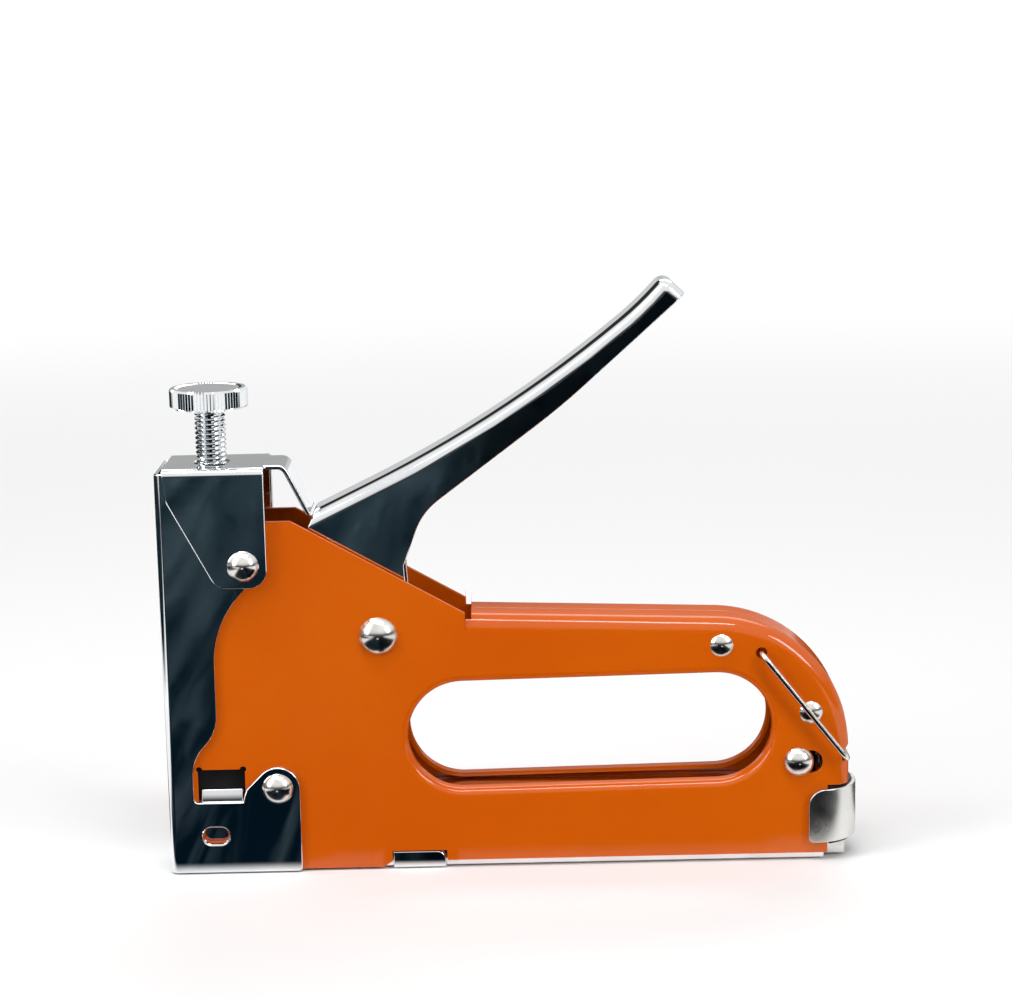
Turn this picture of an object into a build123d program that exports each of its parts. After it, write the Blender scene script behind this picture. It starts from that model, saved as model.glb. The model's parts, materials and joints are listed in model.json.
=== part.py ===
from build123d import *
import math
import os

os.makedirs("parts", exist_ok=True)

# Staple gun in millimetres. X runs from the nose to the tail, Y from the near side to the far side, Z up.

# Driving dimensions: lengths along the tool
length = 143.6                              # nose face to the back of the rear clip
clip_reach = 2.1                            # rear clip behind the back of the grip
front_x = -length / 2
rear_x = length / 2 - clip_reach
nose_depth = 27.4                           # nose channel along its foot
cap_depth = 22.4                            # top cap behind the nose face
adjuster_in = 11.0                          # adjuster, pivot and slope behind the nose face
pivot_in = 44.5
slope_in = 27.3
adjuster_x = front_x + adjuster_in
pivot_x = front_x + pivot_in
slope_x = front_x + slope_in                # where the top of the shells starts to fall
slope_run = 35.1
cut_in = 4.65
cut_x = rear_x - cut_in                     # back edge of the shells beside the rear clip

# Driving dimensions: heights
nose_top = 84.6
body_top = 74.2
pivot_z = 49.7
grip_z = 53.7                               # top of the grip at its front end
cut_z = 16.0                                # bottom of the grip's back wall
heel_z = 1.4                                # bottom edge of the shells behind the step
foot_z = 0.2                                # bottom edge of the shells in front of it
slope_angle = 29.6
grip_fall = 2.0                             # degrees that the grip top falls to the back

# Sheet thicknesses and the layers across the width, as half widths from the middle
staple_crown = 11.3
shell_sheet = 1.0
nose_sheet = 0.9
channel_sheet = 0.8
lever_sheet = 1.2
clip_sheet = 0.9
side_play = 0.2                             # staple to channel wall
layer_gap = 0.05                            # between sheets that are riveted together
seam = 0.04                                 # half the gap where the two shells meet
channel_in = staple_crown / 2 + side_play
channel_out = channel_in + channel_sheet
shell_in = channel_out + 2 * layer_gap
shell_out = shell_in + shell_sheet
nose_in = shell_out + layer_gap
nose_out = nose_in + nose_sheet
cap_in = nose_out + layer_gap
cap_out = cap_in + nose_sheet
cap_z = nose_top + layer_gap                # underside of the cap's top plate
cap_top = cap_z + nose_sheet

# Clearances
run_fit = 0.05                              # radial, pin in a turning hole
slip = 0.1                                  # sliding faces
free = 0.4                                  # pieces that pass each other

# Finger hole
hole_length = 75.4
hole_height = 22.95
hole_in = 53.77                             # middle of the hole in front of the grip's back
hole_x = rear_x - hole_in
hole_z = 28.5
hole_tilt = 0.77                            # degrees that the hole rises to the back
lip_depth = 3.4
lip_radius = 1.6
press_radius = 3.2                          # rounding where the side turns into the grip's wall

# Rivets: place, head radius, head height, shank radius
upper_in = 17.6                             # nose rivets behind the nose face, and their heights
upper_z = 65.3
lower_in = 22.8
lower_z = 17.9
upper_rivet = (front_x + upper_in, upper_z)
lower_rivet = (front_x + lower_in, lower_z)
nose_head_r = 3.25
nose_head_h = 1.9
nose_shank_r = 2.0
pin_head_r = 4.05
pin_head_h = 2.2
pin_r = 2.5
rivet_a_in = 26.55                          # grip rivets in front of the grip's back, and their heights
rivet_a_z = 46.3
rivet_b_in = 8.15
rivet_b_z = 31.7
grip_rivet_a = (rear_x - rivet_a_in, rivet_a_z)
grip_rivet_b = (rear_x - rivet_b_in, rivet_b_z)
grip_head_r = 2.35
grip_head_h = 0.95
grip_shank_r = 1.6

# Magazine
channel_front = front_x + 2.7
channel_back = cut_x - 0.6
channel_top = 15.2
rail_half = 4.8
rail_foot = 0.25
rail_top = 13.5
rod_z = 7.0
rod_r = 1.5

# Lever, measured from its pivot
lever_half = 5.9
finger_reach = 26.0
lever_swing = 45.0                          # degrees from open to closed
finger_r = 2.2
boss_r = 7.2
finger_x = pivot_x - finger_reach * math.cos(math.radians(lever_swing / 2))
finger_z = pivot_z - finger_reach * math.sin(math.radians(lever_swing / 2))

# Lock wire
wire_r = 0.6
wire_gap = 0.3                              # lock wire to the sides of its seat
wire_half = shell_out + grip_head_h + wire_r + 0.35
wire_hole_r = 1.15
wire_x = rear_x - 18.35
wire_z = 44.6
wire_angle = math.radians(-52.1)
wire_seat = 0.7                             # middle of the wire inside the back of the grip
wire_reach = (rear_x - wire_seat - wire_x) / math.cos(wire_angle)
wire_end_x = wire_x + wire_reach * math.cos(wire_angle)
wire_end_z = wire_z + wire_reach * math.sin(wire_angle)

# Latch
latch_x = rear_x - 10.65
latch_z = 21.1
latch_r = 2.3
latch_travel = 2.6


def turned(x, z, points, arcs):
    """Revolve a half profile, given as (along Y, radius), about a line through (x, z) along Y."""
    with BuildSketch(Plane(origin=(x, 0, z), x_dir=(0, 1, 0), z_dir=(0, 0, 1))) as half:
        with BuildLine():
            for start, end in zip(points, points[1:] + points[:1]):
                if (start, end) in arcs:
                    ThreePointArc(start, arcs[(start, end)], end)
                else:
                    Line(start, end)
        make_face()
    revolve(half.sketch, axis=Axis((x, 0, z), (0, 1, 0)))


def dome_middle(seat, radius, height):
    """Point half way along a dome's arc, from the middle of its top to its rim."""
    ball = (radius**2 + height**2) / (2 * height)
    half = math.asin(radius / ball) / 2
    return seat + height - ball + ball * math.cos(half), ball * math.sin(half)


def through_rivet(x, z, seat, head_r, head_h, shank_r):
    """Rivet across the whole width, with a domed head on each side."""
    along, out = dome_middle(seat, head_r, head_h)
    low, high = (-seat - head_h, 0), (seat + head_h, 0)
    low_rim, high_rim = (-seat, head_r), (seat, head_r)
    points = [low, low_rim, (-seat, shank_r), (seat, shank_r), high_rim, high]
    turned(x, z, points, {(low, low_rim): (-along, out), (high_rim, high): (along, out)})


def side_holes(places, radius):
    """Round holes through one shell."""
    with BuildSketch(Plane.XZ.offset(shell_in - slip)) as holes:
        with Locations(*places):
            Circle(radius)
    extrude(holes.sketch, amount=shell_sheet + 2 * slip, mode=Mode.SUBTRACT)


# Body shells: a flat side with a wall along the grip's top and back, pressed in one piece
shoulder_r = 27.8
shoulder_turn = 78.7
back_r = 40.0
fall = math.radians(grip_fall)
turn = math.radians(grip_fall + shoulder_turn)
shoulder_dx = shoulder_r * (math.sin(turn) - math.sin(fall))
back_dx = back_r * (1 - math.sin(turn))
slope_end_x = slope_x + slope_run
slope_end_z = body_top - slope_run * math.tan(math.radians(slope_angle))
notch_width = 1.2
notch_depth = 0.6
grip_x = slope_end_x + notch_width
grip_end_x = rear_x - shoulder_dx - back_dx
grip_end_z = grip_z - (grip_end_x - grip_x) * math.tan(fall)
shell_front = front_x + nose_sheet + 0.4
step_x = front_x + 44.3
lug_x = front_x + 51.8
lug_length = 11.0
lug_height = 3.4
window_x = front_x + 11.1
window_width = 9.8
window_low = channel_top - channel_sheet - slip
window_high = 22.0
window_relief = 0.65                        # radius of the relief at each upper corner of the window
port_x = front_x + 9.6
port_z = 8.0
port_length = 6.0
port_height = 4.0

back_turn = 90 - grip_fall - shoulder_turn
seat_in = wire_end_x - wire_r - wire_gap
seat_floor = wire_end_z - wire_r - wire_gap
seat_roof = wire_end_z + wire_r + wire_gap
seat_flare = math.tan(math.radians(42))     # the wire swings up and out of its seat

# The space inside the grip, one sheet in from its outline, with the press rounding carried inside
with BuildPart() as hollow:
    with BuildSketch(Plane.XZ.offset(-1)):
        with BuildLine():
            ceiling = Line(
                (grip_x - 5, grip_z - shell_sheet / math.cos(fall) + 5 * math.tan(fall)),
                (grip_end_x - shell_sheet * math.sin(fall), grip_end_z - shell_sheet * math.cos(fall)),
            )
            bow_in = JernArc(
                start=ceiling @ 1,
                tangent=ceiling % 1,
                radius=shoulder_r - shell_sheet,
                arc_size=-shoulder_turn,
            )
            back_in = JernArc(
                start=bow_in @ 1, tangent=bow_in % 1, radius=back_r - shell_sheet, arc_size=-back_turn
            )
            Polyline(back_in @ 1, (rear_x - shell_sheet, -5), (grip_x - 5, -5), ceiling @ 0)
        make_face()
    extrude(amount=shell_in + 1)
    inner_rim = hollow.edges().filter_by_position(Axis.Y, -shell_in - 0.01, -shell_in + 0.01)
    inner_rim = inner_rim.filter_by(lambda e: e.center().X > grip_x and e.center().Z > -4)
    fillet(inner_rim, press_radius - shell_sheet)

with BuildPart() as left_shell:
    with BuildSketch(Plane.XZ.offset(seam)):
        with BuildLine():
            top = Line((grip_x - 5, grip_z + 5 * math.tan(fall)), (grip_end_x, grip_end_z))
            shoulder = JernArc(start=top @ 1, tangent=top % 1, radius=shoulder_r, arc_size=-shoulder_turn)
            back = JernArc(
                start=shoulder @ 1, tangent=shoulder % 1, radius=back_r, arc_size=-back_turn
            )
            Polyline(
                back @ 1,
                (rear_x, cut_z),
                (cut_x, cut_z),
                (cut_x, heel_z),
                (grip_x - 5, heel_z),
                top @ 0,
            )
        make_face()
    extrude(amount=shell_out - seam)
    rim = left_shell.edges().filter_by_position(Axis.Y, -shell_out - 0.01, -shell_out + 0.01)
    rim = rim.filter_by(lambda e: e.center().X > grip_x and e.center().Z > cut_z + 1)
    fillet(rim, press_radius)
    with BuildSketch(Plane.XZ.offset(seam)):
        with BuildLine():
            Polyline(
                (slope_end_x, heel_z),
                (step_x + 1.8, heel_z),
                (step_x, foot_z),
                (shell_front, foot_z),
                (shell_front, body_top),
                (slope_x, body_top),
                (slope_end_x, slope_end_z),
                close=True,
            )
        make_face()
    extrude(amount=shell_out - seam)
    with BuildSketch(Plane.XZ):
        with Locations((slope_end_x, grip_z - notch_depth)):
            Rectangle(notch_width, body_top, align=(Align.MIN, Align.MIN))
    extrude(amount=2 * shell_out, mode=Mode.SUBTRACT)
    add(hollow.part, mode=Mode.SUBTRACT)
    with BuildSketch(Plane.XZ.offset(-1)):
        with Locations((grip_x, -5)):
            Rectangle(length, body_top + 20, align=(Align.MAX, Align.MIN))
    extrude(amount=shell_in + 1, mode=Mode.SUBTRACT)
    with BuildSketch(Plane.XZ.offset(shell_out - lip_depth)):
        with Locations((hole_x, hole_z)):
            SlotOverall(
                hole_length + 2 * shell_sheet, hole_height + 2 * shell_sheet, rotation=hole_tilt
            )
    extrude(amount=lip_depth - shell_sheet / 2)
    with BuildSketch(Plane.XZ):
        with Locations((hole_x, hole_z)):
            SlotOverall(hole_length, hole_height, rotation=hole_tilt)
    extrude(amount=shell_out + 1, mode=Mode.SUBTRACT)
    mouth = left_shell.edges().filter_by_position(Axis.Y, -shell_out - 0.01, -shell_out + 0.01)
    mouth = mouth.filter_by(
        lambda e: abs(e.center().X - hole_x) <= hole_length / 2 + 0.1
        and abs(e.center().Z - hole_z) <= hole_height / 2 + 0.5
    )
    fillet(mouth, lip_radius)
    side_holes([(pivot_x, pivot_z)], pin_r + layer_gap)
    side_holes([upper_rivet, lower_rivet], nose_shank_r + layer_gap)
    side_holes([grip_rivet_a, grip_rivet_b], grip_shank_r + layer_gap)
    side_holes([(wire_x, wire_z)], wire_hole_r)
    with BuildSketch(Plane.XZ.offset(shell_in - slip)):
        with Locations((latch_x + latch_travel / 2, latch_z)):
            SlotOverall(2 * latch_r + latch_travel + 2 * slip, 2 * latch_r + 2 * slip)
        with Locations((window_x, (window_low + window_high) / 2)):
            Rectangle(window_width, window_high - window_low)
        with Locations((window_x, window_high)):
            with GridLocations(window_width - window_relief, 0, 2, 1):
                Circle(window_relief)
        with Locations((port_x, port_z)):
            SlotOverall(port_length - 1, port_height - 1)
        with Locations((lug_x, 0)):
            Rectangle(lug_length + 4 * slip, 2 * (lug_height + 2 * slip))
    extrude(amount=shell_sheet + 2 * slip, mode=Mode.SUBTRACT)
    with BuildSketch(Plane.XZ):
        with BuildLine():
            Polyline(
                (seat_in, seat_floor),
                (rear_x + 1, seat_floor),
                (rear_x + 1, seat_roof + (rear_x + 1 - seat_in) * seat_flare),
                (seat_in, seat_roof),
                close=True,
            )
        make_face()
    extrude(amount=shell_out + 1, mode=Mode.SUBTRACT)
left_shell.part.label = "left_shell"
export_step(left_shell.part, "parts/left_shell.step")

with BuildPart() as right_shell:
    add(mirror(left_shell.part, about=Plane.XZ))
right_shell.part.label = "right_shell"
export_step(right_shell.part, "parts/right_shell.step")

# Nose channel: one folded sheet, trimmed to its side outline
waist_r = 9.3
flare_r = 21.5
ear_r = 4.6
notch_x = front_x + 5.35
notch_z = channel_top
nose_bend = 1.4
nose_corner = 0.8

with BuildPart() as nose_channel:
    with BuildSketch():
        with Locations((front_x, 0)):
            Rectangle(nose_depth, 2 * nose_out, align=(Align.MIN, Align.CENTER))
        with Locations((front_x + nose_sheet, 0)):
            Rectangle(nose_depth, 2 * nose_in, align=(Align.MIN, Align.CENTER), mode=Mode.SUBTRACT)
    extrude(amount=nose_top)
    upright = nose_channel.edges().filter_by(Axis.Z)
    fillet(upright.filter_by_position(Axis.X, front_x - 0.01, front_x + 0.01), nose_bend)
    with BuildSketch(Plane.XZ):
        with BuildLine():
            foot = Polyline(
                (front_x, 0),
                (front_x + nose_depth, 0),
                (lower_rivet[0] + ear_r, lower_rivet[1]),
            )
            ear = CenterArc(lower_rivet, ear_r, 0, 135)
            cheek = PolarLine(ear @ 1, 4.7, angle=225)
            base = Polyline(cheek @ 1, (front_x + 15.5, notch_z), (notch_x, notch_z), (notch_x, 20.8))
            waist = JernArc(start=base @ 1, tangent=(0, 1), radius=waist_r, arc_size=-45)
            hip = JernArc(start=waist @ 1, tangent=waist % 1, radius=waist_r, arc_size=45)
            rise = Line(hip @ 1, (hip @ 1) + Vector(0, 10.6))
            flare = JernArc(start=rise @ 1, tangent=(0, 1), radius=flare_r, arc_size=-45)
            run = PolarLine(flare @ 1, 7.0, angle=45)
            Polyline(run @ 1, ((run @ 1).X, nose_top), (front_x, nose_top), (front_x, 0))
        make_face()
    extrude(amount=2 * cap_out, both=True, mode=Mode.INTERSECT)
    corner = nose_channel.edges().filter_by(Axis.Y)
    fillet(
        corner.filter_by_position(Axis.X, notch_x - 0.01, notch_x + 0.01).filter_by_position(
            Axis.Z, notch_z - 0.01, notch_z + 0.01
        ),
        1.0,
    )
    heel = nose_channel.edges().filter_by(Axis.Y).filter_by_position(Axis.Z, -0.01, 0.01)
    heel_x = front_x + nose_depth
    fillet(heel.filter_by_position(Axis.X, heel_x - 0.01, heel_x + 0.01), nose_corner)
    with BuildSketch(Plane.XZ):
        with Locations((port_x, port_z)):
            SlotOverall(port_length - 0.6, port_height - 0.6)
        with Locations(upper_rivet, lower_rivet):
            Circle(nose_shank_r + layer_gap)
    extrude(amount=2 * cap_out, both=True, mode=Mode.SUBTRACT)
    rims = nose_channel.edges().filter_by(lambda e: abs(abs(e.center().Y) - nose_out) < 0.01)
    rims = rims.filter_by(
        lambda e: abs(e.center().X - port_x) < port_length / 2 and abs(e.center().Z - port_z) < port_height / 2
    )
    chamfer(rims, 0.35)
nose_channel.part.label = "nose_channel"
export_step(nose_channel.part, "parts/nose_channel.step")

# Top cap: a stirrup over the nose, with a tongue that bends down in front of the lever
flap_low = 60.75
cap_front = front_x + 1.6
tongue_half = 6.2
tongue_run = 4.0                            # flat stretch from the cap to the tongue's bend
tongue_length = 11.4
tongue_angle = 64.0
cap_bend = 1.5
knee_r = 2.4

with BuildPart() as top_cap:
    with BuildSketch(Plane.YZ.offset(front_x)):
        with Locations((0, cap_top)):
            Rectangle(2 * cap_out, cap_top - flap_low, align=(Align.CENTER, Align.MAX))
        with Locations((0, cap_z)):
            Rectangle(2 * cap_in, cap_z, align=(Align.CENTER, Align.MAX), mode=Mode.SUBTRACT)
    extrude(amount=cap_depth)
    bends = top_cap.edges().filter_by(Axis.X).filter_by_position(Axis.Z, cap_top - 0.01, cap_top + 0.01)
    fillet(bends, cap_bend)
    with BuildSketch(Plane.XZ) as flap:
        with BuildLine():
            Polyline(
                (cap_front, cap_top),
                (front_x + 2.4, 79.0),
                (front_x + 12.0, flap_low),
                (front_x + cap_depth, flap_low),
                (front_x + cap_depth, cap_top),
                close=True,
            )
        make_face()
        fillet(flap.vertices().filter_by_position(Axis.Y, 0, 80), 3.8)
    extrude(amount=2 * cap_out, both=True, mode=Mode.INTERSECT)
    knee_x = front_x + cap_depth + tongue_run
    lean = math.radians(tongue_angle)
    knee_in = nose_sheet * math.tan(lean / 2)
    tip = (knee_x + tongue_length * math.cos(lean), cap_top - tongue_length * math.sin(lean))
    with BuildSketch(Plane.XZ) as tongue:
        with BuildLine():
            Polyline(
                (front_x + cap_depth - 1, cap_top),
                (knee_x, cap_top),
                tip,
                (tip[0] - nose_sheet * math.sin(lean), tip[1] - nose_sheet * math.cos(lean)),
                (knee_x - knee_in, cap_z),
                (front_x + cap_depth - 1, cap_z),
                close=True,
            )
        make_face()
    extrude(amount=tongue_half, both=True)
    knee = top_cap.edges().filter_by(Axis.Y)
    fillet(knee.filter_by_position(Axis.X, knee_x - 0.01, knee_x + 0.01), knee_r)
    inner_x = knee_x - knee_in
    knee = top_cap.edges().filter_by(Axis.Y)
    fillet(knee.filter_by_position(Axis.X, inner_x - 0.01, inner_x + 0.01), knee_r - nose_sheet)
    with BuildSketch(Plane.XZ):
        with Locations(upper_rivet):
            Circle(nose_shank_r + layer_gap)
    extrude(amount=2 * cap_out, both=True, mode=Mode.SUBTRACT)
    with BuildSketch():
        with Locations((adjuster_x, 0)):
            Circle(3.6)
    extrude(amount=2 * cap_top, mode=Mode.SUBTRACT)
top_cap.part.label = "top_cap"
export_step(top_cap.part, "parts/top_cap.step")

# Rivets
upset = 0.4                                 # thin inner head of the short upper rivets

with BuildPart() as nose_rivets:
    through_rivet(*lower_rivet, nose_out, nose_head_r, nose_head_h, nose_shank_r)
    along, out = dome_middle(cap_out, nose_head_r, nose_head_h)
    crown, rim_point = (cap_out + nose_head_h, 0), (cap_out, nose_head_r)
    short = [
        (shell_in - upset, 0),
        (shell_in - upset, nose_shank_r + 1),
        (shell_in, nose_shank_r + 1),
        (shell_in, nose_shank_r),
        (cap_out, nose_shank_r),
        rim_point,
        crown,
    ]
    turned(*upper_rivet, short, {(rim_point, crown): (along, out)})
    mirror(about=Plane.XZ)
nose_rivets.part.label = "nose_rivets"
export_step(nose_rivets.part, "parts/nose_rivets.step")

with BuildPart() as lever_pin:
    through_rivet(pivot_x, pivot_z, shell_out, pin_head_r, pin_head_h, pin_r)
lever_pin.part.label = "lever_pin"
export_step(lever_pin.part, "parts/lever_pin.step")

with BuildPart() as grip_rivets:
    through_rivet(*grip_rivet_a, shell_out, grip_head_r, grip_head_h, grip_shank_r)
    through_rivet(*grip_rivet_b, shell_out, grip_head_r, grip_head_h, grip_shank_r)
grip_rivets.part.label = "grip_rivets"
export_step(grip_rivets.part, "parts/grip_rivets.step")

with BuildPart() as grip_spacers:
    with BuildSketch(Plane.XZ):
        with Locations(grip_rivet_a, grip_rivet_b):
            Circle(grip_shank_r + 1.4)
            Circle(grip_shank_r + layer_gap, mode=Mode.SUBTRACT)
    extrude(amount=shell_in - layer_gap, both=True)
grip_spacers.part.label = "grip_spacers"
export_step(grip_spacers.part, "parts/grip_spacers.step")

# Lever bearing: a sleeve between the lever's walls and a washer outside each wall
with BuildPart() as pivot_bush:
    with BuildSketch(Plane.XZ):
        with Locations((pivot_x, pivot_z)):
            Circle(pin_r + 1.5)
            Circle(pin_r + layer_gap, mode=Mode.SUBTRACT)
    extrude(amount=lever_half - lever_sheet - slip, both=True)
pivot_bush.part.label = "pivot_bush"
export_step(pivot_bush.part, "parts/pivot_bush.step")

with BuildPart() as pivot_washers:
    with BuildSketch(Plane.XZ.offset(lever_half + slip)):
        with Locations((pivot_x, pivot_z)):
            Circle(pin_r + 2.6)
            Circle(pin_r + layer_gap, mode=Mode.SUBTRACT)
    extrude(amount=shell_in - lever_half - slip - layer_gap)
    mirror(about=Plane.XZ)
pivot_washers.part.label = "pivot_washers"
export_step(pivot_washers.part, "parts/pivot_washers.step")

# Lever: a channel with rounded bends along the line of its back, with two webs down to the pivot
lever_bend = 2.8                            # outside radius where the back turns into the walls
tip_radius = 2.4
lever_depth = 16.0
root_length = 17.0
root_angle = 25.5                           # degrees that the back rises at the pivot
bow_r = 260.0
bow_turn = 13.6
sweep_r = 67.0
sweep_turn = 8.2
tip_length = 3.0
inner_half = lever_half - lever_sheet
back_out = 17.0                             # start of the back, in front of the pivot and above it
back_rise = 23.85
belly_out = 5.6                             # start of the belly, behind the pivot and above it
belly_rise = 14.3
back_start = (pivot_x - back_out, pivot_z + back_rise)
belly_start = (pivot_x + belly_out, pivot_z + belly_rise)
throat_length = 7.5
throat_angle = 70.0
throat_r = 14.0
belly_angle = 36.5
belly_length = 24.8
belly_r = 150.0
belly_turn = 5.0
belly_tail = 30.0
toe_out = 5.0                               # corners of the webs, from the pivot
heel_out = 7.0
sole_drop = 4.0
chin_out = 10.9
chin_rise = 7.3
brow_out = 14.1
brow_rise = 19.6
brow_play = 1.7                             # the trim stays this far clear of the brow
rump_out = 22.0
rump_rise = 22.0
crest_out = 14.0
crest_rise = 31.5
lip_out = 11.5
lip_rise = 20.8
trim_out = 9.6                              # corners of the trimming outline, above the back
trim_rise = 32.0
trim_far = 75.0
trim_top = 85.0
arm_root = 5.2                              # half width of an arm at the pivot
arm_half = 1.6
arm_neck = 3.2

with BuildPart() as lever:
    with BuildLine(Plane.XZ) as spine:
        root = PolarLine(back_start, root_length, angle=root_angle)
        bow = JernArc(start=root @ 1, tangent=root % 1, radius=bow_r, arc_size=bow_turn)
        lift = JernArc(start=bow @ 1, tangent=bow % 1, radius=sweep_r, arc_size=sweep_turn)
        PolarLine(lift @ 1, tip_length, angle=root_angle + bow_turn + sweep_turn)
    ridge = spine.wires()[0]
    end_point = ridge @ 1
    with BuildSketch(Plane(origin=ridge @ 0, x_dir=(0, 1, 0), z_dir=ridge % 0)) as outer:
        Rectangle(2 * lever_half, lever_depth, align=(Align.CENTER, Align.MAX))
        fillet(outer.vertices().sort_by(Axis.Y)[-2:], lever_bend)
    sweep(outer.sketch, path=ridge)
    tip_face = lever.faces().sort_by_distance(end_point)[0]
    tip_edges = tip_face.edges().sort_by_distance(end_point)[:-1]
    fillet(tip_edges, tip_radius)
    short_ridge = ridge.trim(0, 1 - lever_sheet / ridge.length)
    with BuildSketch(Plane(origin=ridge @ 0, x_dir=(0, 1, 0), z_dir=ridge % 0)) as inner:
        with Locations((0, -lever_sheet)):
            Rectangle(2 * inner_half, lever_depth + 4, align=(Align.CENTER, Align.MAX))
        fillet(inner.vertices().sort_by(Axis.Y)[-2:], lever_bend - lever_sheet)
    sweep(inner.sketch, path=short_ridge, mode=Mode.SUBTRACT)
    web = [
        (-brow_out, brow_rise),
        (-chin_out, chin_rise),
        (-toe_out, -sole_drop),
        (heel_out, -sole_drop),
        (rump_out, rump_rise),
        (crest_out, crest_rise),
        (-lip_out, lip_rise),
    ]
    for side in (-1, 1):
        with BuildSketch(Plane.XZ.offset(side * (inner_half + lever_half) / 2)):
            with BuildLine():
                Polyline(*[(pivot_x + x, pivot_z + z) for x, z in web], close=True)
            make_face()
        extrude(amount=lever_sheet / 2, both=True)
    with BuildSketch(Plane.XZ):
        with BuildLine():
            throat = PolarLine(belly_start, throat_length, angle=throat_angle)
            turn_in = JernArc(
                start=throat @ 1, tangent=throat % 1, radius=throat_r, arc_size=belly_angle - throat_angle
            )
            belly = PolarLine(turn_in @ 1, belly_length, angle=belly_angle)
            rise_on = JernArc(start=belly @ 1, tangent=belly % 1, radius=belly_r, arc_size=belly_turn)
            tail = PolarLine(rise_on @ 1, belly_tail, angle=belly_angle + belly_turn)
            Polyline(
                tail @ 1,
                (pivot_x + trim_far, pivot_z + trim_top),
                (pivot_x - trim_out, pivot_z + trim_rise),
                (pivot_x - brow_out - 0.4, pivot_z + brow_rise + brow_play),
                (pivot_x - chin_out, pivot_z + chin_rise),
                (pivot_x - toe_out, pivot_z - sole_drop),
                (pivot_x + heel_out, pivot_z - sole_drop),
                belly_start,
            )
        make_face()
    extrude(amount=2 * lever_half, both=True, mode=Mode.INTERSECT)
    reach = math.radians(180 + lever_swing / 2)
    neck = finger_reach - arm_neck
    along_arm = Vector(math.cos(reach), math.sin(reach))
    across_arm = Vector(-math.sin(reach), math.cos(reach))
    hub = Vector(pivot_x, pivot_z)
    for side in (-1, 1):
        with BuildSketch(Plane.XZ.offset(side * (inner_half + lever_half) / 2)):
            with Locations((pivot_x, pivot_z)):
                Circle(boss_r)
            with Locations((finger_x, finger_z)):
                Circle(finger_r)
            with BuildLine():
                Polyline(
                    hub + across_arm * arm_root,
                    hub + along_arm * neck + across_arm * arm_half,
                    hub + along_arm * finger_reach + across_arm * arm_half,
                    hub + along_arm * finger_reach - across_arm * arm_half,
                    hub + along_arm * neck - across_arm * arm_half,
                    hub - across_arm * arm_root,
                    close=True,
                )
            make_face()
        extrude(amount=lever_sheet / 2, both=True)
    with BuildSketch(Plane.XZ):
        with Locations((pivot_x, pivot_z)):
            Circle(pin_r + run_fit)
    extrude(amount=2 * lever_half, both=True, mode=Mode.SUBTRACT)
lever.part.label = "lever"
export_step(lever.part, "parts/lever.step")

# Striker: a block that the fingers lift, with the blade on its front
plunger_low = 30.0
plunger_high = 46.0
plunger_half = lever_half
plunger_front = front_x + 2.3
plunger_back = finger_x - 0.7
spring_r = 5.5
spring_hole_r = 4.1
post_height = 4.0
blade_sheet = 1.1
blade_half = staple_crown / 2 - 0.05
finger_play = 0.35
seat_low = 77.8
seat_high = 79.6
seat_r = 6.3

with BuildPart() as plunger:
    with BuildSketch(Plane.XZ):
        with Locations((plunger_front, plunger_low)):
            Rectangle(
                plunger_back - plunger_front, plunger_high - plunger_low, align=(Align.MIN, Align.MIN)
            )
        with Locations((finger_x - 5.1, finger_z)):
            Rectangle(
                20, 2 * (finger_r + finger_play), align=(Align.MIN, Align.CENTER), mode=Mode.SUBTRACT
            )
    extrude(amount=plunger_half, both=True)
    chamfer(plunger.edges().filter_by(Axis.Z), 0.8)
    with BuildSketch(Plane.XY.offset(plunger_high)):
        with Locations((adjuster_x, 0)):
            Circle(spring_hole_r - 0.4)
    extrude(amount=post_height)
    chamfer(plunger.faces().sort_by(Axis.Z)[-1].edges(), 0.8)
plunger.part.label = "plunger"
export_step(plunger.part, "parts/plunger.step")

with BuildPart() as driver_blade:
    with BuildSketch(Plane.YZ.offset(plunger_front - blade_sheet)):
        with Locations((0, 0.5)):
            Rectangle(2 * blade_half, plunger_high - 2.5, align=(Align.CENTER, Align.MIN))
        with Locations((0, plunger_high - 2)):
            Rectangle(2 * blade_half + 1, 5, align=(Align.CENTER, Align.MAX))
    extrude(amount=blade_sheet)
driver_blade.part.label = "driver_blade"
export_step(driver_blade.part, "parts/driver_blade.step")

with BuildPart() as stop_block:
    with BuildSketch(Plane.XZ):
        with Locations((front_x + 3.2, channel_top)):
            Rectangle(15.2, 8.8, align=(Align.MIN, Align.MIN))
    extrude(amount=channel_in - slip, both=True)
    chamfer(stop_block.edges().filter_by(Axis.Z), 0.6)
stop_block.part.label = "stop_block"
export_step(stop_block.part, "parts/stop_block.step")

with BuildPart() as bumper:
    with BuildSketch(Plane.XY.offset(channel_top + 8.8)):
        with Locations((front_x + 3.7, 0)):
            Rectangle(14.2, 2 * channel_in - 1.2, align=(Align.MIN, Align.CENTER))
    extrude(amount=plunger_low - slip - channel_top - 8.8)
    fillet(bumper.edges().filter_by(Axis.Z), 2.0)
bumper.part.label = "bumper"
export_step(bumper.part, "parts/bumper.step")

# Power spring between the striker and the seat that the adjuster presses on
with BuildPart() as main_spring:
    with BuildSketch(Plane.XY.offset(plunger_high)):
        with Locations((adjuster_x, 0)):
            Circle(spring_r)
            Circle(spring_hole_r, mode=Mode.SUBTRACT)
    extrude(amount=seat_low - plunger_high)
main_spring.part.label = "main_spring"
export_step(main_spring.part, "parts/main_spring.step")

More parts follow.
